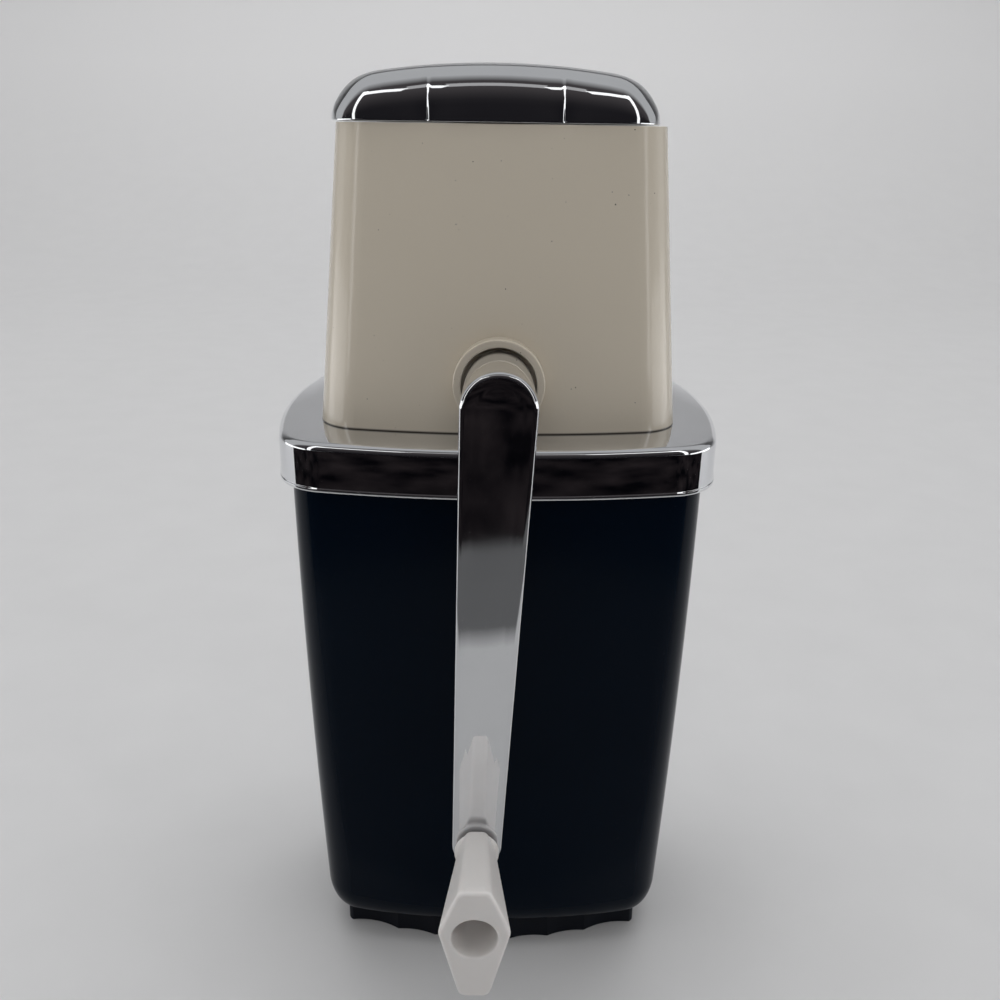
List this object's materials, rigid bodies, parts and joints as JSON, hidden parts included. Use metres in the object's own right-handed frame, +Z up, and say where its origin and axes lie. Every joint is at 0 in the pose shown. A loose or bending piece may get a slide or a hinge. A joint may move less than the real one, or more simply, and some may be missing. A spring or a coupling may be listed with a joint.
{
  "type": "hand crank ice crusher",
  "caption": "Upright hand-cranked ice crusher: tapered hopper head with hinged lid, toothed rotor and combs, collar, lift-off cup, rubber foot and a front crank.",
  "frame": {"origin": "centre of the rubber foot's flat underside", "axes": "+Z up, -Y towards the side with the crank, +X to the right of a person who faces the crank"},
  "size_m": [0.1146, 0.1316, 0.2433],
  "materials": {
    "navy_plastic": "gloss",
    "black_rubber": "matte",
    "bright_chrome": "mirror",
    "cream_enamel": "gloss",
    "bronze_bush": "turned",
    "steel": "satin",
    "spring_steel": "satin",
    "white_plastic": "gloss"
  },
  "bodies": {
    "cup": {"ice_cup": "navy_plastic", "rubber_foot": "black_rubber"},
    "head": {"collar": "bright_chrome", "head_housing": "cream_enamel", "front_bush": "bronze_bush", "rear_bush": "bronze_bush", "coarse_comb": "steel", "fine_comb": "steel", "comb_screws": "steel", "collar_screws": "steel", "cup_spring_left": "spring_steel", "cup_spring_right": "spring_steel", "spring_rivets": "steel", "hinge_pin": "steel"},
    "lid": {"lid_shell": "bright_chrome", "lid_hinge_leaf": "steel", "leaf_rivets": "steel"},
    "crank": {"crank_arm": "bright_chrome", "crank_hub": "bright_chrome", "hub_set_screw": "steel", "drive_shaft": "steel", "pick_wheel_1": "steel", "pick_wheel_2": "steel", "pick_wheel_3": "steel", "pick_wheel_4": "steel", "pick_wheel_5": "steel", "pick_spacer_1": "steel", "pick_spacer_2": "steel", "pick_spacer_3": "steel", "pick_spacer_4": "steel", "shaft_retaining_ring": "steel", "rear_thrust_washer": "steel", "knob_pin": "steel", "knob_washer": "steel"},
    "knob": {"crank_knob": "white_plastic"}
  },
  "joints": [
    {"name": "head_lift", "type": "slide", "parent": "cup", "child": "head", "axis": [0, 0, 1], "range_m": [0, 0.06]},
    {"name": "lid_hinge", "type": "hinge", "parent": "head", "child": "lid", "pos_m": [0, 0.0275, 0.2261], "axis": [-1, 0, 0], "range_deg": [0, 105]},
    {"name": "crank_turn", "type": "hinge", "parent": "head", "child": "crank", "pos_m": [0, -0.0518, 0.17085], "axis": [0, 1, 0], "continuous": true},
    {"name": "knob_spin", "type": "hinge", "parent": "crank", "child": "knob", "pos_m": [-0.00411, -0.0571, 0.05592], "axis": [0, 1, 0], "continuous": true}
  ]
}
